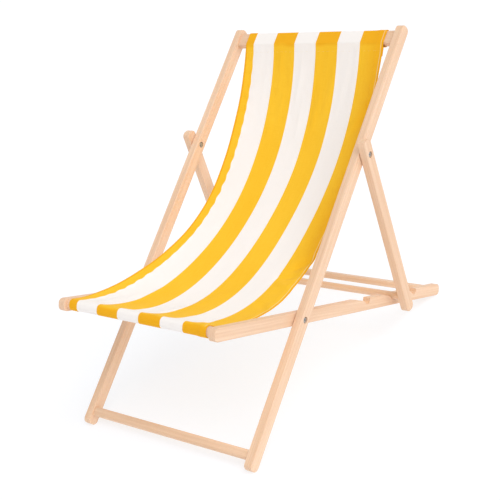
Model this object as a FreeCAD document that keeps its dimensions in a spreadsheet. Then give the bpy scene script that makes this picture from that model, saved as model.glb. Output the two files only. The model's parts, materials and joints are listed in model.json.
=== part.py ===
"""Folding deck chair: three nested beech frames, pivot hardware and a canvas sling.

Millimetres, +Z up, +Y towards the back of the chair, X across it.
The origin is on the ground, in the middle of the chair's outline.

The main frame leans back from its feet to the head bar.  The seat frame turns
inside it on two bolts and drops to the rear, where its ends stand on the
ground.  The prop frame turns outside the main frame on two more bolts, and its
dowel sits in one of three notches in each seat rail.

Every rail and bar is drawn in its own frame: local X runs along the rail,
local Y is the rail's depth, and local Z is the chair's X.
"""
import FreeCAD, Part
import Sketcher
import math
import os

from FreeCAD import Placement, Rotation, Vector

doc = FreeCAD.newDocument("DeckChair")
sheet = doc.addObject("Spreadsheet::Sheet", "Sizes")

# name, value or formula, meaning
DRIVING = [
    ("rail_thick", "22", "thickness of every rail, across the chair"),
    ("rail_depth", "33", "depth of every rail"),
    ("end_radius", "13", "rounding of the rail ends, in side view"),
    ("edge_round", "2", "eased long edges"),
    ("foot_flat", "1", "height planed off the rounded ends that stand on the ground"),
    ("main_length", "1250", "length of a main rail"),
    ("main_lean", "40.8", "main frame above level, degrees"),
    ("main_outer", "286", "half width over the main rails"),
    ("seat_outer", "262.5", "half width over the seat rails"),
    ("arm_inner", "287.5", "half width between the prop arms"),
    ("seat_pivot_at", "393", "seat pivot along the main rail, from its foot"),
    ("prop_pivot_at", "861", "prop pivot along the main rail, from its foot"),
    ("seat_front", "323", "seat rail ahead of its pivot"),
    ("seat_rear", "729", "seat rail behind its pivot"),
    ("arm_above", "42", "prop arm above its pivot"),
    ("arm_below", "506", "prop arm below its pivot"),
    ("head_at", "1214", "head bar along the main rail, from its foot"),
    ("head_wide", "42", "head bar, along the rail"),
    ("head_thick", "20", "head bar, across the rail"),
    ("stretcher_at", "35", "foot stretcher along the main rail, from its foot"),
    ("stretcher_wide", "25", "foot stretcher, along the rail"),
    ("stretcher_thick", "18", "foot stretcher, across the rail"),
    ("stretcher_off", "3", "foot stretcher's middle ahead of the rail's middle"),
    ("front_at", "302", "seat front bar ahead of the seat pivot"),
    ("front_wide", "22", "seat front bar, along the rail"),
    ("front_deep", "26", "seat front bar, across the rail"),
    ("front_off", "2", "seat front bar's middle above the rail's middle"),
    ("front_round", "10", "rounding of the seat front bar's edges"),
    ("rear_at", "672", "seat rear bar behind the seat pivot"),
    ("rear_wide", "35", "seat rear bar, along the rail"),
    ("rear_thick", "18", "seat rear bar, across the rail"),
    ("rear_off", "5", "seat rear bar's middle above the rail's middle"),
    ("bar_round", "5", "rounding of the square bars' edges"),
    ("dowel_radius", "10", "prop dowel"),
    ("tenon_radius", "7", "round tenon on the end of every bar"),
    ("tenon_length", "13", "depth of a tenon in its rail"),
    ("notch_front", "327.6", "front notch behind the seat pivot"),
    ("notch_middle", "461.6", "middle notch behind the seat pivot"),
    ("notch_rear", "579", "rear notch behind the seat pivot"),
    ("notch_radius", "10.4", "round bottom of a notch"),
    ("notch_centre", "10.5", "centre of the round bottom above the rail's middle"),
    ("lip_drop", "5.6", "depth of the shallow ramp where it meets the notch"),
    ("lip_at", "20.5", "end of the shallow ramp ahead of the notch's centre"),
    ("lip_length", "36", "length of the shallow ramp"),
    ("mouth_over", "5", "how far the notch cutter stands above the rail"),
    ("bolt_radius", "4", "pivot bolt shank"),
    ("bolt_slack", "0.06", "running clearance round the shank"),
    ("head_radius", "7", "bolt head"),
    ("head_height", "4", "bolt head"),
    ("head_round", "1.5", "rounding of the bolt head"),
    ("thread_proud", "0.8", "bolt beyond its nut"),
    ("turning_gap", "0.25", "air between a washer and the rail that turns against it"),
    ("bore_radius", "8.5", "recess for a bolt head or a nut"),
    ("bore_depth", "7.5", "recess for a bolt head or a nut"),
    ("nut_flats", "13", "nut across flats"),
    ("nut_height", "5", "nut"),
    ("socket_flats", "5", "hexagon socket in the bolt head"),
    ("socket_depth", "2.4", "hexagon socket in the bolt head"),
    ("washer_radius", "8", "washer"),
    ("washer_thick", "1.2", "washer"),
    ("cloth_thick", "1.2", "canvas"),
    ("cloth_half", "229", "half width of the sling"),
    ("cloth_gap", "0.4", "air between the canvas and the bars it wraps"),
    ("head_leaves", "121.8", "where the canvas leaves the head bar, degrees round its section"),
    ("front_meets", "75", "where it meets the seat front bar, degrees round its section"),
    ("head_pull", "407", "how far the sag follows its direction at the head bar"),
    ("front_pull", "319", "how far the sag follows its direction at the front bar"),
    ("head_sleeve", "-150", "where the sleeve leaves the head bar, degrees round its section"),
    ("front_sleeve", "310", "where the sleeve leaves the front bar, degrees round its section"),
    ("seam_near", "16", "sleeve seam's near edge, along the canvas from its bar"),
    ("seam_far", "34", "sleeve seam's far edge, along the canvas from its bar"),
    ("seam_gap", "1.5", "between the middles of the two layers at the sleeve seam"),
]

DERIVED = [
    ("half_depth", "=rail_depth / 2"),
    ("corner_off", "=half_depth - end_radius"),
    # the main foot stands on the planed corner between its end and its back
    ("foot_z", "=end_radius - foot_flat - end_radius * sin(main_lean) + corner_off * cos(main_lean)"),
    ("seat_pivot_z", "=foot_z + seat_pivot_at * sin(main_lean)"),
    ("seat_pivot_y", "=seat_pivot_at * cos(main_lean)"),
    # the seat rail's rear end stands on the planed corner between its end and its underside
    ("seat_reach", "=seat_rear - end_radius"),
    ("seat_fall", "=seat_pivot_z - end_radius + foot_flat"),
    ("seat_drop", "=(asin(seat_fall / hypot(seat_reach; corner_off))"
                  " - atan(corner_off / seat_reach)) / 1deg"),
    ("reach_front", "=seat_pivot_y - (seat_front - end_radius) * cos(seat_drop)"
                    " - corner_off * sin(seat_drop) - end_radius"),
    ("reach_rear", "=seat_pivot_y + seat_reach * cos(seat_drop) + corner_off * sin(seat_drop)"
                   " + end_radius"),
    ("middle_y", "=(reach_front + reach_rear) / 2"),
    # the prop reaches from its pivot to the dowel in the middle notch
    ("fold_angle", "=main_lean + seat_drop"),
    ("prop_run", "=notch_middle - (prop_pivot_at - seat_pivot_at) * cos(fold_angle)"),
    ("prop_rise", "=(prop_pivot_at - seat_pivot_at) * sin(fold_angle) - notch_centre"),
    ("dowel_at", "=hypot(prop_run; prop_rise)"),
    ("prop_angle", "=atan(prop_rise / prop_run) / 1deg + seat_drop"),
    ("main_inner", "=main_outer - rail_thick"),
    ("seat_inner", "=seat_outer - rail_thick"),
    ("arm_outer", "=arm_inner + rail_thick"),
    ("main_span", "=2 * main_inner"),
    ("seat_span", "=2 * seat_inner"),
    ("prop_span", "=2 * arm_inner"),
    ("main_tenons", "=main_span + 2 * tenon_length"),
    ("seat_tenons", "=seat_span + 2 * tenon_length"),
    ("prop_tenons", "=prop_span + 2 * tenon_length"),
    ("hole_radius", "=bolt_radius + bolt_slack"),
    ("mortise_radius", "=tenon_radius"),
    # the notch's front slope runs from the ramp's end and just touches the round bottom
    ("lip_height", "=half_depth - lip_drop - notch_centre"),
    ("slope_turn", "=(acos(notch_radius / hypot(lip_at; lip_height))"
                   " - atan(lip_height / lip_at)) / 1deg"),
    ("slope_x", "=notch_radius * cos(slope_turn)"),
    ("slope_y", "=notch_radius * sin(slope_turn)"),
]

for row, (alias, value, *_) in enumerate(DRIVING + DERIVED, start=1):
    sheet.set(f"A{row}", alias)
    sheet.set(f"B{row}", value)
    sheet.setAlias(f"B{row}", alias)
doc.recompute()


def size(alias):
    """The value of a cell, in millimetres or degrees."""
    cell = sheet.get(alias)
    return float(getattr(cell, "Value", cell))


def bind(thing, prop, alias):
    thing.setExpression(prop, f"Sizes.{alias}" if not alias.startswith("=") else alias[1:])


# ------------------------------------------------------------------ sketches and bodies

def new_body(label):
    body = doc.addObject("PartDesign::Body", label)
    body.Label = label
    return body


def new_sketch(body, name, height=None, side=1):
    """A sketch in the body's XY plane, lifted to a height given by an alias."""
    sketch = body.newObject("Sketcher::SketchObject", name)
    plane = [o for o in body.Origin.OriginFeatures if o.Role == "XY_Plane"][0]
    sketch.AttachmentSupport = [(plane, "")]
    sketch.MapMode = "FlatFace"
    if height:
        sign = "" if side > 0 else "-"
        sketch.setExpression("AttachmentOffset.Base.z", f"{sign}{height}")
    return sketch


def pin(sketch, geometry, point, x, y):
    """Fix one point at two expressions of the sheet."""
    for kind, (value, text) in (("DistanceX", x), ("DistanceY", y)):
        index = sketch.addConstraint(
            Sketcher.Constraint(kind, -1, 1, geometry, point, value))
        sketch.setExpression(f"Constraints[{index}]", text)


def term(text):
    """A sum of sheet names and plain numbers, as a value and as an expression."""
    value, words = 0.0, []
    for word in text.split():
        sign = -1 if word.startswith("-") else 1
        name = word.lstrip("+-")
        factor = 1.0
        if "*" in name:
            number, name = name.split("*")
            factor = float(number)
        plain = name.replace(".", "").isdigit()
        value += sign * factor * (float(name) if plain else size(name))
        body = name if plain else f"Sizes.{name}"
        words.append(f"{'-' if sign < 0 else '+'} {factor} * {body}")
    return value, " ".join(words)


def polygon(sketch, corners):
    """A closed polygon whose corners are pairs of terms."""
    points = [(term(x), term(y)) for x, y in corners]
    count = len(points)
    first = sketch.GeometryCount
    for i in range(count):
        (ax, _), (ay, _) = points[i]
        (bx, _), (by, _) = points[(i + 1) % count]
        sketch.addGeometry(Part.LineSegment(Vector(ax, ay, 0), Vector(bx, by, 0)), False)
    for i in range(count):
        sketch.addConstraint(Sketcher.Constraint(
            "Coincident", first + i, 2, first + (i + 1) % count, 1))
    for i, (x, y) in enumerate(points):
        pin(sketch, first + i, 1, x, y)


def disc(sketch, x, y, radius):
    """A circle whose centre is a pair of terms and whose radius is a sheet name."""
    x, y = term(x), term(y)
    index = sketch.addGeometry(
        Part.Circle(Vector(x[0], y[0], 0), Vector(0, 0, 1), size(radius)), False)
    pin(sketch, index, 3, x, y)
    constraint = sketch.addConstraint(Sketcher.Constraint("Radius", index, size(radius)))
    sketch.setExpression(f"Constraints[{constraint}]", f"Sizes.{radius}")


def rounded_box(sketch, x0, x1, y0, y1, radius):
    """A rectangle with four equal rounded corners; sides are terms, radius a sheet name."""
    (ax, _), (bx, _), (ay, _), (by, _) = (term(v) for v in (x0, x1, y0, y1))
    r = size(radius)
    turn = math.pi / 2
    sides = [((ax + r, ay), (bx - r, ay)), ((bx, ay + r), (bx, by - r)),
             ((bx - r, by), (ax + r, by)), ((ax, by - r), (ax, ay + r))]
    centres = [(bx - r, ay + r, -turn), (bx - r, by - r, 0), (ax + r, by - r, turn),
               (ax + r, ay + r, 2 * turn)]
    lines, arcs = [], []
    for (p, q), (cx, cy, start) in zip(sides, centres):
        lines.append(sketch.addGeometry(Part.LineSegment(Vector(*p, 0), Vector(*q, 0)), False))
        circle = Part.Circle(Vector(cx, cy, 0), Vector(0, 0, 1), r)
        arcs.append(sketch.addGeometry(Part.ArcOfCircle(circle, start, start + turn), False))
    for i in range(4):
        sketch.addConstraint(Sketcher.Constraint("Tangent", lines[i], 2, arcs[i], 1))
        sketch.addConstraint(Sketcher.Constraint("Tangent", arcs[i], 2, lines[(i + 1) % 4], 1))
    for i in (0, 2):
        sketch.addConstraint(Sketcher.Constraint("Horizontal", lines[i]))
    for i in (1, 3):
        sketch.addConstraint(Sketcher.Constraint("Vertical", lines[i]))
    for i in (1, 2, 3):
        sketch.addConstraint(Sketcher.Constraint("Equal", arcs[0], arcs[i]))
    index = sketch.addConstraint(Sketcher.Constraint("Radius", arcs[0], r))
    sketch.setExpression(f"Constraints[{index}]", f"Sizes.{radius}")
    for kind, line, text in (("DistanceY", lines[0], y0), ("DistanceX", lines[1], x1),
                             ("DistanceY", lines[2], y1), ("DistanceX", lines[3], x0)):
        value, expression = term(text)
        index = sketch.addConstraint(Sketcher.Constraint(kind, -1, 1, line, 1, value))
        sketch.setExpression(f"Constraints[{index}]", expression)


def pad(body, sketch, length):
    feature = body.newObject("PartDesign::Pad", "Pad")
    feature.Profile = sketch
    feature.Midplane = True
    feature.setExpression("Length", f"Sizes.{length}")
    doc.recompute()
    return feature


def pocket(body, sketch, length=None, up=False):
    """Cut a sketch right through the body, or to a depth from the sketch's own height."""
    before = body.Shape.Volume
    feature = body.newObject("PartDesign::Pocket", "Pocket")
    feature.Profile = sketch
    if length:
        feature.setExpression("Length", f"Sizes.{length}")
        feature.Reversed = up
    else:
        feature.Type = "ThroughAll"
        feature.Midplane = True
    doc.recompute()
    if not body.Shape.Volume < before - 1:
        raise RuntimeError(f"{body.Label}: {feature.Name} cuts nothing")
    return feature


def ease_edges(body, feature, radius):
    """Round the long outlines of both side faces."""
    shape = feature.Shape
    top = max(v.Point.z for v in shape.Vertexes)
    names = [f"Edge{i}" for i, edge in enumerate(shape.Edges, start=1)
             if all(abs(abs(v.Point.z) - top) < 1e-6 for v in edge.Vertexes)]
    fillet = body.newObject("PartDesign::Fillet", "EasedEdges")
    fillet.Base = (feature, names)
    fillet.setExpression("Radius", f"Sizes.{radius}")
    doc.recompute()
    return fillet


def rail(label, low, high):
    """A rail with rounded ends and eased edges."""
    body = new_body(label)
    outline = new_sketch(body, "Outline")
    rounded_box(outline, low, high, "-half_depth", "half_depth", "end_radius")
    ease_edges(body, pad(body, outline, "rail_thick"), "edge_round")
    return body


def through_hole(body, x, y="0", radius="hole_radius"):
    sketch = new_sketch(body, "Hole")
    disc(sketch, x, y, radius)
    pocket(body, sketch)


def recess(body, x, y, radius, depth, side):
    """A round recess from the face on the given side, +1 or -1 across the chair."""
    sketch = new_sketch(body, "Recess", "Sizes.rail_thick / 2", side)
    disc(sketch, x, y, radius)
    pocket(body, sketch, depth, up=side < 0)


def plane_foot(body, turned, corner, end):
    """Plane the rounded corner that stands on the ground.

    turned is the rail's angle to the ground and corner the sheet names of the
    corner's centre.  The cut is a square whose upper side is level.
    """
    sketch = new_sketch(body, "Foot")
    angle = math.radians(size(turned))
    cx, cy = term(corner)[0], -size("corner_off")
    drop = size("end_radius") - size("foot_flat")
    wide, deep = 30.0, 20.0
    down = Vector(-math.sin(angle) * end, -math.cos(angle), 0)
    along = Vector(math.cos(angle), -math.sin(angle) * end, 0)
    centre = Vector(cx, cy, 0)
    corners = [centre + down * drop - along * wide, centre + down * drop + along * wide,
               centre + down * (drop + deep) + along * wide,
               centre + down * (drop + deep) - along * wide]
    for i in range(4):
        index = sketch.addGeometry(Part.LineSegment(corners[i], corners[(i + 1) % 4]), False)
        sketch.addConstraint(Sketcher.Constraint("Block", index))
    pocket(body, sketch)


def bar(label, x0, x1, y0, y1, corner, span, tenons, x_mid, y_mid):
    """A cross bar with a rounded section and a round tenon on each end."""
    body = new_body(label)
    outline = new_sketch(body, "Section")
    rounded_box(outline, x0, x1, y0, y1, corner)
    pad(body, outline, span)
    round_end = new_sketch(body, "Tenons")
    disc(round_end, x_mid, y_mid, "tenon_radius")
    pad(body, round_end, tenons)
    return body


# ------------------------------------------------------------------ where the frames stand

def frame_place(angle, y, z):
    """Local X along the rail, local Y its depth, local Z the chair's X."""
    a = math.radians(angle)
    matrix = FreeCAD.Matrix(0, 0, 1, 0,
                            math.cos(a), -math.sin(a), 0, y - size("middle_y"),
                            math.sin(a), math.cos(a), 0, z,
                            0, 0, 0, 1)
    return Placement(matrix)


main_place = frame_place(size("main_lean"), 0, size("foot_z"))
seat_place = frame_place(-size("seat_drop"), size("seat_pivot_y"), size("seat_pivot_z"))
prop_y = size("prop_pivot_at") * math.cos(math.radians(size("main_lean")))
prop_z = size("foot_z") + size("prop_pivot_at") * math.sin(math.radians(size("main_lean")))
prop_place = frame_place(-size("prop_angle"), prop_y, prop_z)


def set_place(body, place, across=0.0):
    body.Placement = place.multiply(Placement(Vector(0, 0, across), Rotation()))


# ------------------------------------------------------------------ the three frames

sub_parts = []
SIDES = (("left", -1), ("right", 1))
half = size("rail_thick") / 2

for name, side in SIDES:
    body = rail(f"main_rail_{name}", "0", "main_length")
    through_hole(body, "seat_pivot_at")
    through_hole(body, "prop_pivot_at")
    recess(body, "seat_pivot_at", "0", "bore_radius", "bore_depth", side)
    recess(body, "prop_pivot_at", "0", "bore_radius", "bore_depth", -side)
    recess(body, "head_at", "0", "mortise_radius", "tenon_length", -side)
    recess(body, "stretcher_at", "stretcher_off", "mortise_radius", "tenon_length", -side)
    plane_foot(body, "main_lean", "end_radius", 1)
    set_place(body, main_place, side * (size("main_outer") - half))
    sub_parts.append(body)

for name, side in SIDES:
    body = rail(f"seat_rail_{name}", "-seat_front", "seat_rear")
    through_hole(body, "0")
    recess(body, "0", "0", "bore_radius", "bore_depth", -side)
    recess(body, "-front_at", "front_off", "mortise_radius", "tenon_length", -side)
    recess(body, "rear_at", "rear_off", "mortise_radius", "tenon_length", -side)
    for place in ("notch_front", "notch_middle", "notch_rear"):
        cup = new_sketch(body, "NotchCup")
        disc(cup, place, "notch_centre", "notch_radius")
        pocket(body, cup)
        mouth = new_sketch(body, "NotchMouth")
        polygon(mouth, [
            (f"{place} +notch_radius", "notch_centre"),
            (f"{place} +notch_radius", "half_depth +mouth_over"),
            (f"{place} -lip_at -lip_length", "half_depth +mouth_over"),
            (f"{place} -lip_at -lip_length", "half_depth"),
            (f"{place} -lip_at", "half_depth -lip_drop"),
            (f"{place} -slope_x", "notch_centre -slope_y"),
            (f"{place}", "notch_centre"),
        ])
        pocket(body, mouth)
    plane_foot(body, "seat_drop", "seat_rear -end_radius", -1)
    set_place(body, seat_place, side * (size("seat_outer") - half))
    sub_parts.append(body)

for name, side in SIDES:
    body = rail(f"prop_arm_{name}", "-arm_above", "arm_below")
    through_hole(body, "0")
    recess(body, "0", "0", "bore_radius", "bore_depth", side)
    recess(body, "dowel_at", "0", "mortise_radius", "tenon_length", -side)
    set_place(body, prop_place, side * (size("arm_inner") + half))
    sub_parts.append(body)

BARS = [
    ("head_bar", "head_at", "0", "0.5*head_wide", "0.5*head_thick", "bar_round",
     "main_span", "main_tenons", main_place),
    ("foot_stretcher", "stretcher_at", "stretcher_off", "0.5*stretcher_wide",
     "0.5*stretcher_thick", "bar_round", "main_span", "main_tenons", main_place),
    ("seat_front_bar", "-front_at", "front_off", "0.5*front_wide", "0.5*front_deep",
     "front_round", "seat_span", "seat_tenons", seat_place),
    ("seat_rear_bar", "rear_at", "rear_off", "0.5*rear_wide", "0.5*rear_thick", "bar_round",
     "seat_span", "seat_tenons", seat_place),
]
for label, along, across, half_x, half_y, corner, span, tenons, place in BARS:
    body = bar(label, f"{along} -{half_x}", f"{along} +{half_x}", f"{across} -{half_y}",
               f"{across} +{half_y}", corner, span, tenons, along, across)
    set_place(body, place)
    sub_parts.append(body)

prop_dowel = new_body("prop_dowel")
for name, radius, length in (("Dowel", "dowel_radius", "prop_span"),
                             ("Tenons", "tenon_radius", "prop_tenons")):
    sketch = new_sketch(prop_dowel, name)
    disc(sketch, "dowel_at", "0", radius)
    pad(prop_dowel, sketch, length)
set_place(prop_dowel, prop_place)
sub_parts.append(prop_dowel)


# ------------------------------------------------------------------ pivot hardware

def cylinder(name, radius, height):
    thing = doc.addObject("Part::Cylinder", name)
    bind(thing, "Radius", radius)
    bind(thing, "Height", height)
    return thing


def hexagon(name, flats, height):
    prism = doc.addObject("Part::Prism", name)
    prism.Polygon = 6
    prism.setExpression("Circumradius", f"Sizes.{flats} / sqrt(3)")
    bind(prism, "Height", height)
    return prism


def washer(name):
    disc_part = cylinder(f"{name}_disc", "washer_radius", "washer_thick")
    hole = cylinder(f"{name}_hole", "hole_radius", "=Sizes.washer_thick + 2")
    hole.Placement.Base = Vector(0, 0, -1)
    ring = doc.addObject("Part::Cut", name)
    ring.Base, ring.Tool = disc_part, hole
    return ring


def bolt(name, length):
    """A bolt along +Z: its head's underside is at 0 and the shank runs to -length."""
    shank = cylinder(f"{name}_shank", "bolt_radius", length)
    shank.setExpression("Placement.Base.z", "-" + length[1:])
    head = cylinder(f"{name}_head", "head_radius", "head_height")
    blank = doc.addObject("Part::Fuse", f"{name}_blank")
    blank.Base, blank.Tool = shank, head
    rounded = doc.addObject("Part::Fillet", f"{name}_rounded")
    rounded.Base = blank
    doc.recompute()
    radius = size("head_round")
    rounded.Edges = [
        (i, radius, radius) for i, edge in enumerate(blank.Shape.Edges, start=1)
        if len(edge.Vertexes) == 1 and abs(edge.Vertexes[0].Z - size("head_height")) < 1e-6]
    socket = hexagon(f"{name}_socket", "socket_flats", "socket_depth")
    socket.setExpression("Placement.Base.z", "Sizes.head_height - Sizes.socket_depth + 0.01")
    whole = doc.addObject("Part::Cut", name)
    whole.Base, whole.Tool = rounded, socket
    return whole


def nut(name):
    body = hexagon(f"{name}_body", "nut_flats", "nut_height")
    hole = cylinder(f"{name}_thread", "hole_radius", "=Sizes.nut_height + 2")
    hole.Placement.Base = Vector(0, 0, -1)
    ring = doc.addObject("Part::Cut", name)
    ring.Base, ring.Tool = body, hole
    return ring


def outward(side, x, place, along):
    """Local +Z points out of the chair on the given side, at x, on a rail's middle line."""
    point = place.multVec(Vector(along, 0, 0))
    turn = Rotation(Vector(0, 1, 0), 90 * side)
    return Placement(Vector(side * x, point.y, point.z), turn)


def pair(label, make, x, place, along):
    """Two like pieces, left and right, as one group of separate solids."""
    members = []
    for name, side in SIDES:
        piece = make(f"{label}_{name}")
        piece.Placement = outward(side, x, place, along)
        members.append(piece)
    group = doc.addObject("Part::Compound", label)
    group.Label = label
    group.Links = members
    sub_parts.append(group)


main_out, main_in = size("main_outer"), size("main_inner")
deep, thin, nut_high = size("bore_depth"), size("washer_thick"), size("nut_height")
# the two places where a bolt passes through a pair of rails: name, distance along the
# main rail, outer rail's outside face, inner rail's inside face, spacer's near face,
# air under the head's washer, air under the nut's washer
PIVOTS = [
    ("seat_pivot", size("seat_pivot_at"), main_out, size("seat_inner"), main_in - thin,
     0.0, size("turning_gap")),
    ("prop_pivot", size("prop_pivot_at"), size("arm_outer"), main_in, main_out,
     size("turning_gap"), 0.0),
]
for label, along, outside, inside, spacer_at, head_air, nut_air in PIVOTS:
    head_washer_at = outside - deep + head_air
    nut_washer_at = inside + deep - nut_air - thin
    head_under = head_washer_at + thin
    shank = head_under - nut_washer_at + nut_high + size("thread_proud")
    pair(f"{label}_bolts", lambda n: bolt(n, f"={shank:.3f}"), head_under, main_place, along)
    pair(f"{label}_head_washers", washer, head_washer_at, main_place, along)
    pair(f"{label}_nut_washers", washer, nut_washer_at, main_place, along)
    pair(f"{label}_nuts", nut, nut_washer_at - nut_high, main_place, along)
    # the washer between the rails stays with the main rail and just clears the other
    pair(f"{label}_spacers", washer, spacer_at, main_place, along)


# ------------------------------------------------------------------ the sling

STEPS = 24      # steps round a bar; the sag has twice as many


def bezier(p0, p1, p2, p3, count):
    for i in range(count + 1):
        t = i / count
        u = 1 - t
        yield p0 * u**3 + p1 * 3 * u * u * t + p2 * 3 * u * t * t + p3 * t**3


def wrap(place, centre, section, corner, start, stop):
    """Points of the canvas round a bar's section, from one angle to another in degrees."""
    grow = size("cloth_gap") + size("cloth_thick") / 2
    radius = size(corner) + grow
    half_x, half_y = (size(name) / 2 + grow - radius for name in section)
    points = []
    for i in range(STEPS + 1):
        angle = math.radians(start + (stop - start) * i / STEPS)
        x, y = math.cos(angle), math.sin(angle)
        world = place.multVec(Vector(centre[0] + math.copysign(half_x, x) + radius * x,
                                     centre[1] + math.copysign(half_y, y) + radius * y, 0))
        points.append(Vector(0, world.y, world.z))
    return points


def heading(place, alias):
    """Which way the canvas runs at an angle round a bar, as the angle grows."""
    angle = math.radians(size(alias))
    return place.Rotation.multVec(Vector(-math.sin(angle), math.cos(angle), 0))


def square_to(way, side):
    """The unit vector square to a direction in side view, on the given side."""
    return Vector(0, -way.z, way.y).normalize() * side


def tail(span, end, away, side):
    """The sleeve from where it leaves its bar to its seam on the back of the canvas."""
    near, far, gap = size("seam_near"), size("seam_far"), size("seam_gap")
    sewn, travelled = [], 0.0
    for before, point, after in zip(span, span[1:], span[2:]):
        travelled += (point - before).Length
        if near <= travelled <= far:
            sewn.append(point + square_to(after - before, side) * gap)
    onward = (sewn[1] - sewn[0]).normalize()
    reach = (sewn[0] - end).Length * 0.35
    joining = list(bezier(end, end + away * reach, sewn[0] - onward * reach, sewn[0], 8))
    return joining[1:-1] + sewn


def sling_line():
    """The middle line of the canvas in side view: a sleeve, the sag and a sleeve."""
    head = wrap(main_place, (size("head_at"), 0), ("head_wide", "head_thick"), "bar_round",
                size("head_sleeve"), size("head_leaves"))
    front = wrap(seat_place, (-size("front_at"), size("front_off")),
                 ("front_wide", "front_deep"), "front_round",
                 size("front_meets"), size("front_sleeve"))
    leave, meet = head[-1], front[0]
    pull = heading(main_place, "head_leaves") * size("head_pull")
    run = heading(seat_place, "front_meets") * size("front_pull")
    hang = list(bezier(leave, leave + pull, meet - run, meet, 8 * STEPS))
    head_tail = tail(hang, head[0], -heading(main_place, "head_sleeve"), 1)
    front_tail = tail(hang[::-1], front[-1], heading(seat_place, "front_sleeve"), -1)
    return head_tail[::-1] + head[:-1] + hang[::4] + front[1:] + front_tail


def sling_shape():
    """The canvas: its middle line given a thickness and carried across the chair."""
    line = sling_line()
    half_thick = size("cloth_thick") / 2
    sides = ([], [])
    for i, point in enumerate(line):
        before, after = line[max(i - 1, 0)], line[min(i + 1, len(line) - 1)]
        along = (after - before).normalize()
        normal = Vector(0, -along.z, along.y)
        sides[0].append(point + normal * half_thick)
        sides[1].append(point - normal * half_thick)
    ring = sides[0] + sides[1][::-1]
    face = Part.Face(Part.makePolygon(ring + ring[:1]))
    face.translate(Vector(-size("cloth_half"), 0, 0))
    return face.extrude(Vector(2 * size("cloth_half"), 0, 0))


sling = doc.addObject("Part::Feature", "sling")
sling.Label = "sling"
sling.Shape = sling_shape()
sling.Placement = Placement()
sub_parts.append(sling)


# ------------------------------------------------------------------ check and write

doc.recompute()
for thing in doc.Objects:
    if "Invalid" in thing.State or "Error" in thing.State:
        raise RuntimeError(f"{thing.Label} failed: {thing.State}")
for piece in sub_parts:
    if piece.Shape.isNull() or not piece.Shape.isValid() or not piece.Shape.Solids:
        raise RuntimeError(f"{piece.Label} has no valid solid")

os.makedirs("parts", exist_ok=True)
for piece in sub_parts:
    piece.Shape.exportStep(f"parts/{piece.Label}.step")
print("wrote", len(sub_parts), "sub-parts")
for label, along, *_ in PIVOTS:
    print(label, main_place.multVec(Vector(along, 0, 0)))
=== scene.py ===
"""Folding deck chair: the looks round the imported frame, in metres.

The wood and steel are the frame's own solids with better materials.  The canvas
is made here: a striped sheet with turned side hems and a sewn sleeve round each
bar, settled by cloth simulation, with its stitching as separate thread.
"""
import json
import math

import bpy
import numpy as np
from mathutils import Matrix, Vector

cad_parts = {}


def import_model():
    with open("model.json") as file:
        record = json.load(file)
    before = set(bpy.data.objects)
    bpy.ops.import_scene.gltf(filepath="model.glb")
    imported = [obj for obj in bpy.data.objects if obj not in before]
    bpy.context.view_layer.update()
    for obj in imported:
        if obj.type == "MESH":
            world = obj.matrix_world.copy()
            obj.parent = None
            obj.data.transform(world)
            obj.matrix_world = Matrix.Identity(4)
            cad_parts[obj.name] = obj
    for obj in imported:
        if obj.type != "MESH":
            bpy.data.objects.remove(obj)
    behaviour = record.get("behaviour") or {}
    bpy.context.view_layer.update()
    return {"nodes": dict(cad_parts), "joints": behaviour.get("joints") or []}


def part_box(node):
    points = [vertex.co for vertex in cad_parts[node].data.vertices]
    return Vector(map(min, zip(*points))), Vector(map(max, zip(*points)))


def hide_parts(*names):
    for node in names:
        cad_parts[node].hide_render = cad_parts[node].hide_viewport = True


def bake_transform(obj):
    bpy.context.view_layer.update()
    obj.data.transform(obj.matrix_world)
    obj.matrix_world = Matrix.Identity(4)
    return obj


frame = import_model()

# ---------------------------------------------------------------- sizes, in metres
HEAD_BAR = (0.042, 0.020, 0.005)   # along the rail, across it, rounding of its edges
FRONT_BAR = (0.022, 0.026, 0.010)
CLOTH_GAP = 0.001                  # from a bar's face to the middle of the canvas
CLOTH_THICK = 0.0010
HEAD_PULL = 0.407                  # how far the sag follows its ends' directions
FRONT_PULL = 0.319
HEAD_LEAVES = 121.8                # degrees round the head bar where the canvas leaves it
FRONT_MEETS = 75                   # degrees round the front bar where it arrives
HEAD_SLEEVE = -150                 # degrees where each sleeve leaves its bar
FRONT_SLEEVE = 310

CUT_WIDTH = 0.466                  # between the side folds
STRIPE = CUT_WIDTH / 6.38          # the left stripe is 0.38 of a stripe, then six whole ones
EDGE_STRIPE = 0.38
# the sides of the canvas at five places down its free part, from the chair's middle
WIDTH_AT = (0, 0.25, 0.5, 0.75, 1)
LEFT_HALF = (0.2310, 0.2235, 0.2215, 0.2300, 0.2294)
RIGHT_HALF = (0.2375, 0.2345, 0.2225, 0.2320, 0.2268)
# and how far they ride above its middle, because the sewn hems are a little short
LIFT_AT = (0, 0.2, 0.45, 0.7, 0.88, 0.95, 1)
LEFT_LIFT = (0, 0.014, 0.013, 0.028, 0.029, 0.019, 0)
RIGHT_LIFT = (0, 0.024, 0.012, 0.005, 0, 0, 0)

COLUMNS = 58                       # cells across the canvas
SPAN_ROWS = 150                    # cells along its free part
HEM_CELLS = 3                      # the side hem covers this many cells
CELL = CUT_WIDTH / COLUMNS
HEM_LAYER = 0.00115                # from one layer of a hem to the other
SLEEVE_SEAM = (0.016, 0.034)       # the sleeve is sewn to the span between these distances
SLEEVE_GAP = 0.0014                # between the middles of the two layers there
STITCH = 0.0026
STITCH_PITCH = 0.0036
THREAD = 0.00018                   # radius

# ---------------------------------------------------------------- places, from the frame
joints = {joint["name"]: joint for joint in frame["joints"]}
seat_pivot = Vector(joints["fold"]["pos_m"])
prop_pivot = Vector(joints["prop_swing"]["pos_m"])


def middle(node):
    low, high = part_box(node)
    return (low + high) / 2


def side(point):
    """A point's place in side view, as (y, z)."""
    return np.array([point.y, point.z])


def unit(vector):
    return vector / np.linalg.norm(vector)


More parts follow.
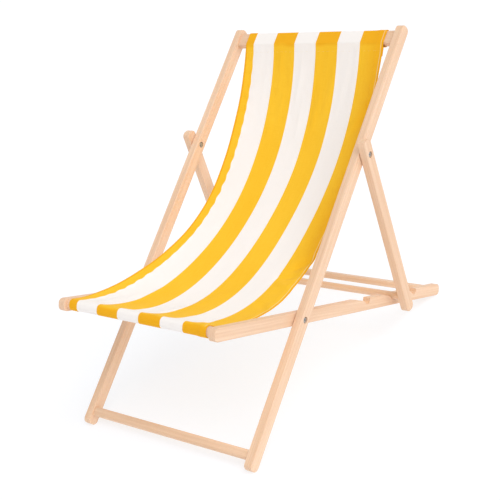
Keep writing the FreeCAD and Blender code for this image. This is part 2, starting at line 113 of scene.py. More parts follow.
def square_to(direction):
    """A quarter turn to the left in side view."""
    return np.array([-direction[1], direction[0]])


main_way = unit(side(prop_pivot - seat_pivot))
seat_way = unit(side(seat_pivot - middle("seat_front_bar")))
prop_way = unit(side(prop_pivot - middle("prop_dowel")))


def angle_of(way):
    return math.atan2(way[1], way[0])


# ---------------------------------------------------------------- material helpers

class Graph:
    """A material's node tree, with short calls for the nodes used here."""

    def __init__(self, name):
        self.material = bpy.data.materials.new(name)
        self.material.use_nodes = True
        self.tree = self.material.node_tree
        self.shader = self.tree.nodes["Principled BSDF"]

    def add(self, kind, **settings):
        node = self.tree.nodes.new(kind)
        for key, value in settings.items():
            setattr(node, key, value)
        return node

    def link(self, source, target):
        self.tree.links.new(source, target)

    def math(self, operation, first, second=None, clamp=False):
        node = self.add("ShaderNodeMath", operation=operation, use_clamp=clamp)
        for socket, value in zip(node.inputs, (first, second)):
            if value is None:
                continue
            if isinstance(value, (int, float)):
                socket.default_value = value
            else:
                self.link(value, socket)
        return node.outputs[0]

    def placed(self, vector, scale=(1, 1, 1), turn=(0, 0, 0), move=(0, 0, 0)):
        node = self.add("ShaderNodeMapping")
        node.inputs["Scale"].default_value = scale
        node.inputs["Rotation"].default_value = turn
        node.inputs["Location"].default_value = move
        self.link(vector, node.inputs["Vector"])
        return node.outputs[0]

    def noise(self, vector, detail=3.0, roughness=0.55, scale=1.0):
        node = self.add("ShaderNodeTexNoise")
        node.inputs["Scale"].default_value = scale
        node.inputs["Detail"].default_value = detail
        node.inputs["Roughness"].default_value = roughness
        self.link(vector, node.inputs["Vector"])
        return node.outputs["Fac"]

    def ramp(self, value, *stops):
        node = self.add("ShaderNodeValToRGB")
        elements = node.color_ramp.elements
        while len(elements) < len(stops):
            elements.new(0.5)
        for element, (place, colour) in zip(elements, stops):
            element.position = place
            element.color = (*colour, 1) if len(colour) == 3 else colour
        self.link(value, node.inputs["Fac"])
        return node.outputs["Color"]

    def mix(self, factor, first, second, blend="MIX"):
        node = self.add("ShaderNodeMix", data_type="RGBA", blend_type=blend)
        for socket, value in zip((node.inputs[0], node.inputs[6], node.inputs[7]),
                                 (factor, first, second)):
            if isinstance(value, (int, float)):
                socket.default_value = value
            elif isinstance(value, tuple):
                socket.default_value = (*value, 1)
            else:
                self.link(value, socket)
        return node.outputs[2]

    def bump(self, height, distance, strength=1.0, under=None):
        node = self.add("ShaderNodeBump")
        node.inputs["Strength"].default_value = strength
        node.inputs["Distance"].default_value = distance
        self.link(height, node.inputs["Height"])
        if under is not None:
            self.link(under, node.inputs["Normal"])
        return node.outputs["Normal"]

    def finish(self, colour=None, roughness=None, normal=None):
        for name, socket in (("Base Color", colour), ("Roughness", roughness),
                             ("Normal", normal)):
            if socket is not None:
                self.link(socket, self.shader.inputs[name])
        return self.material


BEECH_PALE = (0.900, 0.660, 0.485)
BEECH_MID = (0.800, 0.540, 0.360)
BEECH_RING = (0.760, 0.500, 0.325)
BEECH_DEEP = (0.660, 0.400, 0.245)


def beech(name, turn, seed):
    """Oiled beech whose grain runs along local +Y once the piece is turned level."""
    g = Graph(name)
    place = g.add("ShaderNodeTexCoord").outputs["Object"]
    level = g.placed(place, turn=turn, move=(0.31 * seed, 0.77 * seed, 0.19 * seed))
    # slow changes of tone along the board
    tone = g.noise(g.placed(level, scale=(14, 1.6, 14)), detail=2.0)
    streak = g.noise(g.placed(level, scale=(150, 3.0, 150)), detail=5.0, roughness=0.62)
    # growth rings round a heart that lies outside the piece
    ring = g.add("ShaderNodeTexWave", wave_type="RINGS", rings_direction="Y")
    ring.inputs["Scale"].default_value = 74
    ring.inputs["Distortion"].default_value = 5.5
    ring.inputs["Detail"].default_value = 2.5
    ring.inputs["Detail Scale"].default_value = 0.32
    heart = (0.09 + 0.013 * (seed % 5), 0, 0.06 + 0.017 * (seed % 3))
    bent = g.placed(level, scale=(1, 0.16, 1), move=heart)
    g.link(bent, ring.inputs["Vector"])
    # short dark ray flecks, a few millimetres long
    fleck = g.noise(g.placed(level, scale=(1500, 210, 1500)), detail=1.0)
    fleck_mask = g.ramp(fleck, (0.60, (0, 0, 0)), (0.70, (1, 1, 1)))
    pore = g.noise(g.placed(level, scale=(5200, 620, 5200)), detail=1.0)

    base = g.ramp(streak, (0.34, BEECH_PALE), (0.68, BEECH_MID))
    base = g.mix(g.math("MULTIPLY", ring.outputs["Fac"], 0.34), base, BEECH_RING)
    warm = g.ramp(tone, (0.32, (1.03, 1.02, 1.00)), (0.70, (0.93, 0.88, 0.83)))
    base = g.mix(0.85, base, warm, blend="MULTIPLY")
    base = g.mix(g.math("MULTIPLY", fleck_mask, 0.42), base, BEECH_DEEP)
    rough = g.math("ADD", g.math("MULTIPLY", streak, 0.22), 0.36)
    dents = g.bump(pore, 0.00012, 0.5)
    grain = g.bump(fleck_mask, 0.00008, 0.6, under=dents)
    g.shader.inputs["Specular IOR Level"].default_value = 0.35
    g.shader.inputs["Subsurface Weight"].default_value = 0.05
    g.shader.inputs["Subsurface Radius"].default_value = (0.004, 0.002, 0.001)
    return g.finish(base, rough, grain)


def zinc(name, seed):
    """Zinc plate: fine turned marks and faint blotches."""
    g = Graph(name)
    place = g.add("ShaderNodeTexCoord").outputs["Object"]
    moved = g.placed(place, move=(seed, 0.4 * seed, 0.2 * seed))
    blotch = g.noise(g.placed(moved, scale=(420, 420, 420)), detail=3.0)
    marks = g.noise(g.placed(moved, scale=(300, 5200, 5200)), detail=2.0)
    colour = g.ramp(blotch, (0.3, (0.36, 0.35, 0.34)), (0.75, (0.54, 0.53, 0.51)))
    rough = g.math("ADD", g.math("MULTIPLY", blotch, 0.22), 0.24)
    g.shader.inputs["Metallic"].default_value = 1.0
    return g.finish(colour, rough, g.bump(marks, 0.00006, 0.5))


YELLOW = (0.975, 0.585, 0.034)
YELLOW_DEEP = (0.900, 0.480, 0.012)
# painted shade colour of the yellow, for doubled canvas, rolled edges and the last stripe
YELLOW_SHADE = (0.860, 0.400, 0.005)
OFF_WHITE = (0.950, 0.910, 0.880)
OFF_WHITE_DEEP = (0.900, 0.855, 0.820)
# painted shade colour of the off-white
OFF_WHITE_SHADE = (0.920, 0.872, 0.836)
LINED_SHADE_TONE = 0.85                  # how far each zone of the canvas goes to its painted shade colour, and the pale line to its painted highlight
TURNED_SHADE_TONE = 0.55
PAINTED_RIDGE_TONE = 0.30
BLUR_AT_BARS = (0.014, 0.008)      # soft widths of the painted shade where the canvas reaches each bar
LEFT_ROLL = 0.0045                 # widths of the rolled edges, darkened by painted shade, and of the painted highlight by the right one
RIGHT_ROLL = 0.0034
PAINTED_RIDGE = (0.0070, 0.0050)


def canvas(first_bar, seat_from, last_bar):
    """Woven canvas with lengthwise stripes; UV is the flat cut, in metres.

    Where the canvas is doubled, over the bars and along the rolled edges, its colour is
    darkened as painted shade, in place of the light that one layer lets through and two
    do not, and of the shade in the folds.  The canvas lies on its bars up to first_bar
    and from last_bar.  Painted shade on the last stripe runs down to seat_from, where
    the sitter's seat begins, and a painted highlight runs beside the right edge.
    """
    g = Graph("canvas")
    flat = g.add("ShaderNodeUVMap", uv_map="cut").outputs["UV"]
    parts = g.add("ShaderNodeSeparateXYZ")
    g.link(flat, parts.inputs[0])
    across, along = parts.outputs[0], parts.outputs[1]
    # white where the sine is positive, with an edge one yarn wide; the last stripe
    # goes on round the right hem
    seen = g.math("MINIMUM", across, CUT_WIDTH * 0.998)
    stripe = g.math("MULTIPLY_ADD", seen, math.pi / STRIPE)
    stripe.node.inputs[2].default_value = -math.pi * EDGE_STRIPE
    white = g.math("SINE", stripe)
    white = g.math("MULTIPLY_ADD", white, 45.0, clamp=True)
    white.node.inputs[2].default_value = 0.5

    yarn = g.noise(g.placed(flat, scale=(1500, 26, 1)), detail=2.0)
    pick = g.noise(g.placed(flat, scale=(30, 1500, 1)), detail=2.0)
    cloud = g.noise(g.placed(flat, scale=(9, 5, 1)), detail=3.0)
    mottle = g.math("ADD", g.math("MULTIPLY", yarn, 0.40),
                    g.math("MULTIPLY", pick, 0.30))
    mottle = g.math("ADD", mottle, g.math("MULTIPLY", cloud, 0.30))
    yellow = g.ramp(mottle, (0.36, YELLOW), (0.68, YELLOW_DEEP))
    pale = g.ramp(mottle, (0.36, OFF_WHITE), (0.70, OFF_WHITE_DEEP))
    colour = g.mix(white, yellow, pale)

    def beyond(value, limit, soft):
        """0 before a limit and 1 after it, over a soft width."""
        step = g.math("MULTIPLY_ADD", value, 1 / soft, clamp=True)
        step.node.inputs[2].default_value = -limit / soft
        return step

    def before(value, limit, soft):
        return g.math("SUBTRACT", 1.0, beyond(value, limit, soft))

    ragged = g.math("MULTIPLY_ADD", cloud, 0.03)
    ragged.node.inputs[2].default_value = -0.015
    loose = g.math("ADD", along, ragged)
    # painted shade: darker colours where the canvas is doubled over its bars and along its rolled
    # edges
    painted_shade = g.mix(white, YELLOW_SHADE, OFF_WHITE_SHADE)
    on_first = before(loose, first_bar, BLUR_AT_BARS[0])
    on_last = beyond(loose, last_bar, BLUR_AT_BARS[1])
    lined_shade = g.math("MAXIMUM", on_first, on_last)
    lined_shade = g.math("MAXIMUM", lined_shade, before(across, LEFT_ROLL, 0.0012))
    lined_shade = g.math("MAXIMUM", lined_shade, beyond(across, CUT_WIDTH - RIGHT_ROLL, 0.0010))
    colour = g.mix(g.math("MULTIPLY", lined_shade, LINED_SHADE_TONE), colour, painted_shade)
    # painted shade: the last stripe is darkened as if it hung turned away from the light, down to
    # where the seat begins
    turned = g.math("MULTIPLY", beyond(across, CUT_WIDTH - 0.062, 0.045),
                    before(loose, seat_from, 0.12))
    colour = g.mix(g.math("MULTIPLY", turned, TURNED_SHADE_TONE), colour, painted_shade)
    # painted highlight: a pale line beside the right edge, except over the front bar
    ridge_highlight = g.math("SUBTRACT", *(beyond(across, CUT_WIDTH - place, 0.0010) for place in PAINTED_RIDGE))
    ridge_highlight = g.math("MULTIPLY", ridge_highlight, g.math("SUBTRACT", 1.0, on_last))
    colour = g.mix(g.math("MULTIPLY", ridge_highlight, PAINTED_RIDGE_TONE), colour, OFF_WHITE)

    # plain weave: warp and weft rise in turn
    turns = 2 * math.pi / 0.0011
    warp = g.math("SINE", g.math("MULTIPLY", across, turns))
    weft = g.math("SINE", g.math("MULTIPLY", along, turns))
    weave = g.math("MULTIPLY", warp, weft)
    cross = g.math("ADD", g.math("ABSOLUTE", warp), g.math("ABSOLUTE", weft))
    height = g.math("ADD", g.math("MULTIPLY", weave, 0.5), g.math("MULTIPLY", cross, 0.3))
    normal = g.bump(height, 0.00010, 0.55)
    normal = g.bump(mottle, 0.00025, 0.5, under=normal)
    rough = g.math("ADD", g.math("MULTIPLY", mottle, 0.20), 0.72)
    g.shader.inputs["Sheen Weight"].default_value = 0.04
    g.shader.inputs["Sheen Roughness"].default_value = 0.5
    g.shader.inputs["Specular IOR Level"].default_value = 0.15
    return g.finish(colour, rough, normal)


def thread(name, light, groove_shade):
    """Twisted sewing thread, darker in the grooves between its plies: painted shade."""
    g = Graph(name)
    place = g.add("ShaderNodeTexCoord").outputs["Object"]
    ply = g.add("ShaderNodeTexWave", wave_type="BANDS", bands_direction="DIAGONAL")
    ply.inputs["Scale"].default_value = 420
    ply.inputs["Distortion"].default_value = 1.0
    g.link(place, ply.inputs["Vector"])
    # painted shade: the colour darkens where the ply bump is low
    colour = g.ramp(ply.outputs["Fac"], (0.2, groove_shade), (0.8, light))
    g.shader.inputs["Roughness"].default_value = 0.6
    return g.finish(colour, None, g.bump(ply.outputs["Fac"], 0.00008, 0.6))


# ---------------------------------------------------------------- wood and steel

def dress(node, material):
    """Put one material on every slot of a frame node."""
    target = frame["nodes"][node]
    if not target.data.materials:
        target.data.materials.append(material)
    for slot in target.material_slots:
        slot.material = material


main_turn = (-angle_of(main_way), 0, 0)
seat_turn = (-angle_of(seat_way), 0, 0)
prop_turn = (-angle_of(prop_way), 0, 0)
across_turn = (0, 0, math.pi / 2)

RAILS = (("main_rail_left", main_turn), ("main_rail_right", main_turn),
         ("seat_rail_left", seat_turn), ("seat_rail_right", seat_turn),
         ("prop_arm_left", prop_turn), ("prop_arm_right", prop_turn))
BARS = ("head_bar", "foot_stretcher", "seat_front_bar", "seat_rear_bar", "prop_dowel")

for seed, (node, turn) in enumerate(RAILS, start=1):
    dress(node, beech("beech_" + node, turn, seed))
for seed, node in enumerate(BARS, start=len(RAILS) + 1):
    dress(node, beech("beech_" + node, across_turn, seed))

KINDS = ("bolts", "head_washers", "nut_washers", "nuts", "spacers")
for seed, node in enumerate(f"{pivot}_pivot_{kind}" for pivot in ("seat", "prop")
                            for kind in KINDS):
    dress(node, zinc("zinc_" + node, seed + 1))


# ---------------------------------------------------------------- the canvas in side view

def wrap(centre, way, section, start, stop):
    """Points round a bar's rounded section, from one angle to another in degrees."""
    up = square_to(way)
    wide, thick, corner = section
    radius = corner + CLOTH_GAP
    points = []
    for quarter in range(math.floor(start / 90), math.ceil(stop / 90)):
        low, high = max(start, quarter * 90), min(stop, quarter * 90 + 90)
        facing = math.radians(quarter * 90 + 45)
        x = math.copysign(wide / 2 - corner, math.cos(facing))
        y = math.copysign(thick / 2 - corner, math.sin(facing))
        for angle in np.radians(np.linspace(low, high, max(2, math.ceil((high - low) / 18)) + 1)):
            points.append(centre + way * (x + radius * math.cos(angle))
                          + up * (y + radius * math.sin(angle)))
    return points


def heading(way, degrees):
    """Which way the canvas runs at an angle round a bar, as the angle grows."""
    angle = math.radians(degrees)
    return square_to(way) * math.cos(angle) - way * math.sin(angle)


def bezier(points, share):
    a, b, c, d = points
    rest = 1 - share
    return a * rest**3 + b * 3 * rest**2 * share + c * 3 * rest * share**2 + d * share**3


def even(points, count):
    """The same line with evenly spaced points."""
    points = np.array(points)
    run = np.concatenate([[0], np.cumsum(np.linalg.norm(np.diff(points, axis=0), axis=1))])
    wanted = np.linspace(0, run[-1], count + 1)
    return np.stack([np.interp(wanted, run, points[:, k]) for k in (0, 1)], axis=1)


head_wrap = wrap(side(middle("head_bar")), main_way, HEAD_BAR, HEAD_SLEEVE, HEAD_LEAVES)
front_wrap = wrap(side(middle("seat_front_bar")), seat_way, FRONT_BAR, FRONT_MEETS, FRONT_SLEEVE)
leave, meet = head_wrap[-1], front_wrap[0]
hang = (leave, leave + heading(main_way, HEAD_LEAVES) * HEAD_PULL,
        meet - heading(seat_way, FRONT_MEETS) * FRONT_PULL, meet)
span = even([bezier(hang, share) for share in np.linspace(0, 1, 600)], SPAN_ROWS)

line = np.array(head_wrap[:-1] + list(span) + front_wrap[1:])
span_first = len(head_wrap) - 1
span_last = span_first + SPAN_ROWS
steps = np.linalg.norm(np.diff(line, axis=0), axis=1)
travelled = np.concatenate([[0], np.cumsum(steps)])
span_run = (travelled - travelled[span_first]) / (travelled[span_last] - travelled[span_first])
span_length = travelled[span_last] - travelled[span_first]


# ---------------------------------------------------------------- the canvas as a grid

def through(knots, values, at):
    """A smooth curve through a few values (cubic Hermite)."""
    knots, values = np.array(knots, float), np.array(values, float)
    slopes = np.gradient(values, knots)
    at = np.clip(at, knots[0], knots[-1])
    k = np.clip(np.searchsorted(knots, at, side="right") - 1, 0, len(knots) - 2)
    gap = knots[k + 1] - knots[k]
    t = (at - knots[k]) / gap
    return ((2 * t**3 - 3 * t**2 + 1) * values[k] + (t**3 - 2 * t**2 + t) * gap * slopes[k]
            + (3 * t**2 - 2 * t**3) * values[k + 1] + (t**3 - t**2) * gap * slopes[k + 1])


rows = len(line)
across = np.linspace(-1, 1, COLUMNS + 1)
edge = np.minimum(np.arange(COLUMNS + 1), np.arange(COLUMNS + 1)[::-1]) * CELL
left, right = through(WIDTH_AT, LEFT_HALF, span_run), through(WIDTH_AT, RIGHT_HALF, span_run)
way_down = np.gradient(line, axis=0)
line_normal = np.stack([way_down[:, 1], -way_down[:, 0]], axis=1)
line_normal /= np.linalg.norm(line_normal, axis=1, keepdims=True)
lifts = np.where(across[None, :] < 0, through(LIFT_AT, LEFT_LIFT, span_run)[:, None],
                 through(LIFT_AT, RIGHT_LIFT, span_run)[:, None]) * np.abs(across) ** 2.2
grid = np.zeros((rows, COLUMNS + 1, 3))
grid[..., 0] = ((right - left) / 2)[:, None] + across * ((right + left) / 2)[:, None]
grid[..., 1:] = line[:, None] + line_normal[:, None] * lifts[..., None]


def sheet_mesh(name, points, uv=None):
    """A mesh of quads from a grid of points, with an optional flat map."""
    high, wide = points.shape[:2]
    faces = [(r * wide + c, (r + 1) * wide + c, (r + 1) * wide + c + 1, r * wide + c + 1)
             for r in range(high - 1) for c in range(wide - 1)]
    mesh = bpy.data.meshes.new(name)
    mesh.from_pydata(points.reshape(-1, 3).tolist(), [], faces)
    if uv is not None:
        layer = mesh.uv_layers.new(name="cut")
        order = np.array([loop.vertex_index for loop in mesh.loops])
        layer.data.foreach_set("uv", uv.reshape(-1, 2)[order].astype(np.float32).ravel())
    mesh.polygons.foreach_set("use_smooth", [True] * len(mesh.polygons))
    mesh.update()
    thing = bpy.data.objects.new(name, mesh)
    bpy.context.scene.collection.objects.link(thing)
    return thing


def settle(points, most=0.010, frames=34):
    """Let the free span hang: cloth simulation, with no point moved further than most."""
    cloth = sheet_mesh("settling", points)
    pins = cloth.vertex_groups.new(name="pins")
    wide = points.shape[1]
    for r in range(points.shape[0]):
        if not span_first + 2 <= r <= span_last - 2:
            pins.add(list(range(r * wide, (r + 1) * wide)), 1.0, "REPLACE")
    modifier = cloth.modifiers.new("Cloth", "CLOTH")
    settings = modifier.settings
    settings.quality = 7
    settings.mass = 0.04
    settings.tension_stiffness = 60
    settings.compression_stiffness = 30
    settings.shear_stiffness = 12
    settings.bending_stiffness = 0.6
    settings.air_damping = 3.0
    settings.vertex_group_mass = "pins"
    settings.shrink_min = -0.006
    modifier.collision_settings.use_collision = False
    modifier.point_cache.frame_start, modifier.point_cache.frame_end = 1, frames
    scene = bpy.context.scene
    for number in range(1, frames + 1):
        scene.frame_set(number)
    shown = cloth.evaluated_get(bpy.context.evaluated_depsgraph_get()).to_mesh()
    moved = np.zeros(points.size)
    shown.vertices.foreach_get("co", moved)
    moved = moved.reshape(points.shape)
    scene.frame_set(1)
    bpy.data.objects.remove(cloth)
    # keep the folds and leave out the even drop, which the side line already has
    step = moved - points
    step -= step.mean(axis=1, keepdims=True)
    size = np.linalg.norm(step, axis=2, keepdims=True)
    print("cloth moved at most", round(float(size.max()) * 1000, 2), "mm")
    return points + step * np.minimum(1, most / np.maximum(size, 1e-9))


grid = settle(grid)


def normals(points):
    """Unit normals on the sitter's side of the canvas."""
    down = np.gradient(points, axis=0)
    right = np.gradient(points, axis=1)
    n = np.cross(down, right)
    return n / np.linalg.norm(n, axis=2, keepdims=True)


def smooth(low, high, value):
    t = np.clip((value - low) / (high - low), 0, 1)
    return t * t * (3 - 2 * t)


def ripples(seed, place, length):
    """An uneven wave: three sines with seeded lengths and starts."""
    chance = np.random.default_rng(seed)
    total = np.zeros_like(place)
    for weight in (1.0, 0.7, 0.5):
        period = length * chance.uniform(0.65, 1.5)
        total += weight * np.sin(2 * math.pi * (place / period + chance.uniform()))
    return total / 2.2


# soft creases: from and to (share of the free span, place across from -1 to 1), depth, width
CREASES = (
    (0.590, 0.985, 0.640, 0.800, -0.0100, 0.012),
    (0.655, 0.940, 0.668, 0.700, -0.0070, 0.009),
    (0.700, 0.960, 0.690, 0.780, 0.0050, 0.009),
    (0.800, 0.950, 0.770, 0.760, -0.0050, 0.009),
    (0.150, 0.980, 0.235, 0.800, -0.0090, 0.012),
    (0.965, 0.880, 0.900, 0.560, -0.0032, 0.010),
    (0.975, -0.240, 0.930, -0.330, -0.0018, 0.009),
    (0.970, 0.420, 0.925, 0.370, -0.0020, 0.009),
)


def crease(share, place, share_end, place_end, depth, width):
    """Offsets that fall off to each side of a short line on the canvas."""
    at = np.stack(np.broadcast_arrays((span_run * span_length)[:, None],
                                      (across * CUT_WIDTH / 2)[None, :]), axis=-1)
    start = np.array([share * span_length, place * CUT_WIDTH / 2])
    way = np.array([share_end * span_length, place_end * CUT_WIDTH / 2]) - start
    t = np.clip((at - start) @ way / (way @ way), 0, 1)
    off = np.linalg.norm(at - start - t[..., None] * way, axis=-1)
    return depth * np.exp(-(off / width) ** 2) * np.sin(np.pi * (0.12 + 0.76 * t))


def pucker(points):
    """Gathers along the hem seams, raised hems, and small creases beside the front bar."""
    n = normals(points)
    free = smooth(0.0, 0.05, span_run) * smooth(1.0, 0.97, span_run)
    for sign, seed in ((-1, 11), (1, 23)):
        here = (np.sign(across) == sign) * np.exp(-((edge - HEM_CELLS * CELL) / 0.013) ** 2)
        wave = ripples(seed, travelled, 0.050) * free
        points += n * (0.0013 * wave)[:, None, None] * here[None, :, None]
        points[..., 0] += 0.0034 * (ripples(seed + 1, travelled, 0.046) * free)[:, None] * here
        flutter = (np.sign(across) == sign) * np.exp(-(edge / 0.022) ** 2)
        lift = ripples(seed + 2, travelled, 0.21) * free
        points += n * (0.0016 * lift)[:, None, None] * flutter[None, :, None]
    near_front = smooth(0.80, 0.965, span_run) * smooth(1.0, 0.972, span_run)
    near_head = smooth(0.20, 0.04, span_run) * smooth(0.0, 0.02, span_run)
    spread = across * CUT_WIDTH / 2
    for strength, zone, seed in ((0.0018, near_front, 31), (0.0012, near_head, 37)):
        gather = ripples(seed, spread, 0.060) * (0.25 + across**2)
        points += n * (strength * zone)[:, None, None] * gather[None, :, None]
    for share, place, share_end, place_end, depth, width in CREASES:
        points += n * crease(share, place, share_end, place_end, depth, width)[..., None]
    hem = smooth((HEM_CELLS + 1.2) * CELL, HEM_CELLS * CELL, edge)
    points += n * (HEM_LAYER * hem)[None, :, None]
    return points


grid = pucker(grid)


# ---------------------------------------------------------------- sleeves and hems

def row_at(distance):
    """The row nearest to a distance along the free span, from the head bar."""
    share = distance / span_length
    return span_first + int(round(share * SPAN_ROWS))


def sleeve(points, from_head):
    """Rows that carry the canvas from its first or last wrap to the seam under the span."""
    n = normals(points)
    near, far = SLEEVE_SEAM
    if from_head:
        seam = range(row_at(near), row_at(far) + 1)
        end, before = points[0], points[1]
    else:
        seam = range(row_at(span_length - near), row_at(span_length - far) - 1, -1)
        end, before = points[-1], points[-2]
    hem = smooth((HEM_CELLS + 2) * CELL, (HEM_CELLS + 0.5) * CELL, edge)
    gap = SLEEVE_GAP + 2.2 * HEM_LAYER * hem
    sewn = [points[r] - n[r] * gap[:, None] for r in seam]
    away = end - before
    away /= np.linalg.norm(away, axis=1, keepdims=True)
    onward = sewn[1] - sewn[0]
    onward /= np.linalg.norm(onward, axis=1, keepdims=True)
    reach = np.linalg.norm(sewn[0] - end, axis=1, keepdims=True) * 0.35
    curve = (end, end + away * reach, sewn[0] - onward * reach, sewn[0])
    joining = [bezier(curve, share) for share in np.linspace(0, 1, 7)[1:-1]]
    return joining + sewn


head_sleeve = sleeve(grid, True)
front_sleeve = sleeve(grid, False)
whole = np.array(head_sleeve[::-1] + list(grid) + front_sleeve)
whole_normal = normals(whole)
middle_line = whole[:, COLUMNS // 2]
along_cut = np.concatenate([[0], np.cumsum(np.linalg.norm(np.diff(middle_line, axis=0), axis=1))])


def hemmed(points, n):
    """The grid with each side folded under, and the flat place of every point."""
    outward = points[:, -1] - points[:, -2]
    outward /= np.linalg.norm(outward, axis=1, keepdims=True)
    inward = points[:, 0] - points[:, 1]
    inward /= np.linalg.norm(inward, axis=1, keepdims=True)
    columns, places = [], []
    radius = HEM_LAYER / 2

    def fold(edge, way, normal):
        turned = []
        for angle in (45, 90, 135):
            a = math.radians(angle)
            turned.append(edge + way * radius * math.sin(a) - normal * radius * (1 - math.cos(a)))
        return turned

    under = [points[:, c] - n[:, c] * HEM_LAYER for c in range(HEM_CELLS, -1, -1)]
    columns += under + fold(points[:, 0], inward, n[:, 0])[::-1]
    places += [-(c * CELL) - 3 * radius for c in range(HEM_CELLS, -1, -1)]
    places += [-2.4 * radius, -1.6 * radius, -0.8 * radius]
    columns += [points[:, c] for c in range(COLUMNS + 1)]
    places += [c * CELL for c in range(COLUMNS + 1)]
    columns += fold(points[:, -1], outward, n[:, -1])
    places += [CUT_WIDTH + k * radius for k in (0.8, 1.6, 2.4)]
    columns += [points[:, -1 - c] - n[:, -1 - c] * HEM_LAYER for c in range(HEM_CELLS + 1)]
    places += [CUT_WIDTH + 3 * radius + c * CELL for c in range(HEM_CELLS + 1)]
    return np.stack(columns, axis=1), np.array(places)


points, places = hemmed(whole, whole_normal)
uv = np.zeros(points.shape[:2] + (2,))
uv[..., 0] = places[None, :]
uv[..., 1] = along_cut[:, None]
sling = sheet_mesh("canvas_sling", points, uv)
free_from, free_to = (along_cut[len(head_sleeve) + r] for r in (span_first, span_last))
sling.data.materials.append(canvas(free_from - 0.004, free_from + 0.56 * (free_to - free_from),
                                   free_to + 0.006))
for kind, settings in (("SUBSURF", {"levels": 1, "render_levels": 1}),
                       ("SOLIDIFY", {"thickness": CLOTH_THICK, "offset": 0.0})):
    modifier = sling.modifiers.new(kind.title(), kind)
    for key, value in settings.items():
        setattr(modifier, key, value)
shaped = bpy.data.meshes.new_from_object(
    sling.evaluated_get(bpy.context.evaluated_depsgraph_get()))
sling.modifiers.clear()
sling.data = shaped
sling.data.name = "canvas_sling"


# ---------------------------------------------------------------- stitching

def on_canvas(row, column):
    """A point of the canvas and its normal, at a fractional row and column."""
    r0, c0 = min(int(row), len(whole) - 2), min(int(column), COLUMNS - 1)
    fr, fc = row - r0, column - c0
    value = []
    for source in (whole, whole_normal):
        top = source[r0, c0] * (1 - fc) + source[r0, c0 + 1] * fc
        low = source[r0 + 1, c0] * (1 - fc) + source[r0 + 1, c0 + 1] * fc
        value.append(top * (1 - fr) + low * fr)
    return Vector(value[0]), Vector(value[1]).normalized()


def stitch_rows(name, paths, material):
    """A run of short thread loops along each path of (row, column) pairs."""
    sides = 6
    profile = ((-0.5, 0.25), (-0.38, 0.85), (0.0, 1.0), (0.38, 0.85), (0.5, 0.25))
    vertices, faces = [], []
    for path, lift in paths:
        places = [on_canvas(r, c) for r, c in path]
        place = [p + n * lift for p, n in places]
        lengths = [0.0]
        for a, b in zip(place, place[1:]):
            lengths.append(lengths[-1] + (b - a).length)
        count = int(lengths[-1] / STITCH_PITCH)
        k = 0
        for i in range(count):
            at = (i + 0.5) * STITCH_PITCH
            while lengths[k + 1] < at:
                k += 1
            share = (at - lengths[k]) / (lengths[k + 1] - lengths[k])
            point = place[k].lerp(place[k + 1], share)
            way = (place[k + 1] - place[k]).normalized()
            up = places[k][1]
            beside = way.cross(up).normalized()
            base = len(vertices)
            for step, swell in profile:
                arch = up * THREAD * (1.2 - 4.2 * step * step)
                for s in range(sides):
                    a = 2 * math.pi * s / sides
                    ring = (beside * math.cos(a) + up * math.sin(a)) * THREAD * swell
                    vertices.append(point + way * STITCH * step + arch * 0.6 + ring)
            for step in range(len(profile) - 1):
                for s in range(sides):
                    t = (s + 1) % sides
                    low, high = base + step * sides, base + (step + 1) * sides
                    faces.append((low + s, low + t, high + t, high + s))
            faces.append(tuple(base + s for s in range(sides))[::-1])
            last = base + (len(profile) - 1) * sides
            faces.append(tuple(last + s for s in range(sides)))
    mesh = bpy.data.meshes.new(name)
    mesh.from_pydata([tuple(v) for v in vertices], [], faces)
    mesh.polygons.foreach_set("use_smooth", [True] * len(mesh.polygons))
    mesh.materials.append(material)
    thing = bpy.data.objects.new(name, mesh)
    bpy.context.scene.collection.objects.link(thing)
    return thing


head_rows = len(head_sleeve)
last_row = head_rows + rows - 1
FACE = CLOTH_THICK / 2
hem_column = HEM_CELLS - 0.4       # cells in from the fold
side_paths = []
for column in (hem_column, COLUMNS - hem_column):
    down = [(r, column) for r in range(head_rows, last_row + 1)]
    side_paths.append((down, FACE))
    side_paths.append((down, -FACE - HEM_LAYER))
sleeve_paths = []
seam_at = sum(SLEEVE_SEAM) / 2
for row in (row_at(seam_at), row_at(span_length - seam_at)):
    seam = [(row + head_rows, c) for c in np.linspace(0.3, COLUMNS - 0.3, 120)]
    sleeve_paths.append((seam, FACE - THREAD))
    sleeve_paths.append((seam, -FACE - SLEEVE_GAP))
hem_thread = stitch_rows("hem_stitching", side_paths,
                         thread("hem_thread", (0.90, 0.52, 0.06), (0.62, 0.30, 0.02)))
sleeve_thread = stitch_rows("sleeve_stitching", sleeve_paths,
                            thread("sleeve_thread", (0.90, 0.70, 0.38), (0.84, 0.62, 0.28)))


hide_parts("sling")
for piece in (sling, hem_thread, sleeve_thread):
    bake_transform(piece)


# ---------------------------------------------------------------- floor, light, camera

def floor():
    """A plain pale floor, wide enough to fill the view."""
    size = 30.0
    corners = [(-size, -size, 0), (size, -size, 0), (size, size, 0), (-size, size, 0)]
    mesh = bpy.data.meshes.new("studio_floor")
    mesh.from_pydata([(x, y, -0.0002) for x, y, _ in corners], [], [(0, 1, 2, 3)])
    g = Graph("floor_paint")
    place = g.add("ShaderNodeTexCoord").outputs["Object"]
    grit = g.noise(g.placed(place, scale=(90, 90, 90)), detail=2.0)
    g.shader.inputs["Specular IOR Level"].default_value = 0.1
    g.shader.inputs["Emission Color"].default_value = (0.965, 0.985, 1, 1)
    g.shader.inputs["Emission Strength"].default_value = 0.69
    rough = g.math("ADD", g.math("MULTIPLY", grit, 0.05), 0.85)
    colour = g.ramp(grit, (0.3, (0.34, 0.34, 0.36)), (0.7, (0.35, 0.35, 0.37)))
    mesh.materials.append(g.finish(colour, rough))
    thing = bpy.data.objects.new("studio_floor", mesh)
    bpy.context.scene.collection.objects.link(thing)


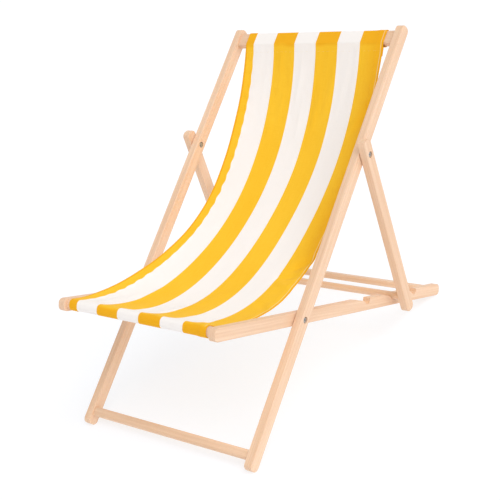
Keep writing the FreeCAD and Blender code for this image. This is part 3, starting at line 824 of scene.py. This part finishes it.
def soft_sun(name, place, strength, spread):
    """An even, soft light that comes from a direction."""
    data = bpy.data.lights.new(name, "SUN")
    data.energy = strength
    data.angle = math.radians(spread)
    lamp = bpy.data.objects.new(name, data)
    lamp.rotation_mode = "QUATERNION"
    lamp.rotation_quaternion = (-Vector(place)).to_track_quat("-Z", "Y")
    bpy.context.scene.collection.objects.link(lamp)


def sky(level, overhead):
    """Even light from all round: white at the horizon and dimmer overhead."""
    world = bpy.data.worlds.new("studio")
    world.use_nodes = True
    nodes, links = world.node_tree.nodes, world.node_tree.links
    place = nodes.new("ShaderNodeTexCoord")
    parts = nodes.new("ShaderNodeSeparateXYZ")
    ramp = nodes.new("ShaderNodeValToRGB")
    low, high = ramp.color_ramp.elements
    low.position, low.color = 0.10, (1, 1, 1, 1)
    high.position, high.color = 0.24, (overhead, overhead, overhead, 1)
    links.new(place.outputs["Generated"], parts.inputs[0])
    links.new(parts.outputs["Z"], ramp.inputs["Fac"])
    background = nodes["Background"]
    links.new(ramp.outputs["Color"], background.inputs["Color"])
    background.inputs["Strength"].default_value = level
    bpy.context.scene.world = world


def camera():
    """The viewing angle: front right, slightly above, and tilted a little."""
    azimuth, elevation, roll = math.radians(43.48), math.radians(21.69), math.radians(-11.94)
    distance = 2.829
    aim = Vector((0, -0.1848, 0.4560))
    back = Vector((math.sin(azimuth) * math.cos(elevation),
                   -math.cos(azimuth) * math.cos(elevation), math.sin(elevation)))
    right = Vector((math.cos(azimuth), math.sin(azimuth), 0))
    up = back.cross(right)
    tilted_right = right * math.cos(roll) + up * math.sin(roll)
    tilted_up = up * math.cos(roll) - right * math.sin(roll)
    data = bpy.data.cameras.new("camera")
    data.lens = 78.81
    data.sensor_width = 36
    data.shift_x = 0.0919
    data.shift_y = -0.0257
    view = bpy.data.objects.new("camera", data)
    bpy.context.scene.collection.objects.link(view)
    turn = Matrix((tilted_right, tilted_up, back)).transposed().to_4x4()
    view.matrix_world = Matrix.Translation(aim + back * distance) @ turn
    bpy.context.scene.camera = view


floor()
sky(level=1.0, overhead=0.66)
soft_sun("key", place=(0.60, -0.10, 0.79), strength=1.52, spread=60)
camera()
bpy.context.scene.view_settings.view_transform = "Standard"
